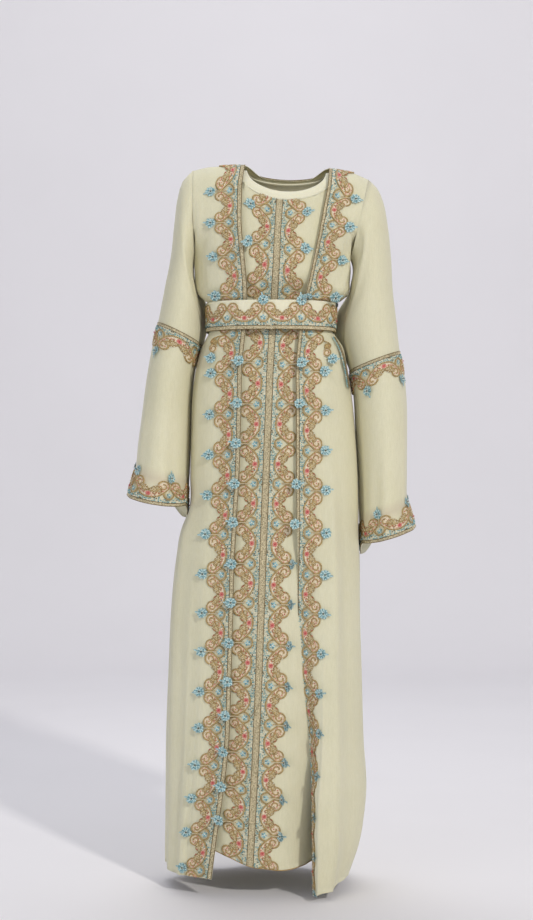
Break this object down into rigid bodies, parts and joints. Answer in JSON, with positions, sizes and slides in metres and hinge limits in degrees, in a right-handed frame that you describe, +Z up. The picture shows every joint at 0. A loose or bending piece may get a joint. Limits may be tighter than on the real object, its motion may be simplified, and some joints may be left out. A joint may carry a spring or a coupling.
{
  "type": "kaftan",
  "caption": "Long layered kaftan in its worn form: an inner dress, an open robe with wide sleeves, and a fitted belt, trimmed with scrolled lace and raised flowers.",
  "frame": {"origin": "middle of the neck, at the height of the shoulder seams, where the wearer's shoulders carry the kaftan", "axes": "+Z up along the body, -Y out of the front, +X to the right of someone who looks at the front"},
  "size_m": [0.5978, 0.3232, 1.462],
  "materials": {
    "cream_crepe": "cream crepe, matt with a faint sheen, fine pebbled weave",
    "band_crepe": "paler cream crepe, doubled and pressed flat",
    "gold_braid": "old-gold plaited braid with a soft metallic glint",
    "beaded_lace": "scrolled lace of gold cord on an ivory ground, with pink flowers and light-blue beads"
  },
  "bodies": {
    "root": {"inner_shoulder_front": "cream_crepe", "inner_chest_front": "cream_crepe", "inner_skirt_front": "cream_crepe", "inner_hem_front": "cream_crepe", "inner_shoulder_back_left": "cream_crepe", "inner_chest_back_left": "cream_crepe", "inner_skirt_back_left": "cream_crepe", "inner_hem_back_left": "cream_crepe", "inner_shoulder_back_right": "cream_crepe", "inner_chest_back_right": "cream_crepe", "inner_skirt_back_right": "cream_crepe", "inner_hem_back_right": "cream_crepe", "robe_shoulder_left": "cream_crepe", "robe_chest_left": "cream_crepe", "robe_skirt_left": "cream_crepe", "robe_hem_left": "cream_crepe", "robe_shoulder_right": "cream_crepe", "robe_chest_right": "cream_crepe", "robe_skirt_right": "cream_crepe", "robe_hem_right": "cream_crepe", "robe_shoulder_back_left": "cream_crepe", "robe_chest_back_left": "cream_crepe", "robe_skirt_back_left": "cream_crepe", "robe_hem_back_left": "cream_crepe", "robe_shoulder_back_right": "cream_crepe", "robe_chest_back_right": "cream_crepe", "robe_skirt_back_right": "cream_crepe", "robe_hem_back_right": "cream_crepe", "sleeve_upper_left": "cream_crepe", "sleeve_lower_left": "cream_crepe", "sleeve_upper_right": "cream_crepe", "sleeve_lower_right": "cream_crepe", "neck_band": "band_crepe", "belt_band": "band_crepe", "centre_braid": "gold_braid", "back_neck_braid": "gold_braid", "centre_lace_left": "beaded_lace", "centre_lace_right": "beaded_lace", "edge_lace_left": "beaded_lace", "edge_lace_right": "beaded_lace", "elbow_lace_left": "beaded_lace", "elbow_lace_right": "beaded_lace", "cuff_lace_left": "beaded_lace", "cuff_lace_right": "beaded_lace", "belt_lace": "beaded_lace"}
  },
  "joints": []
}
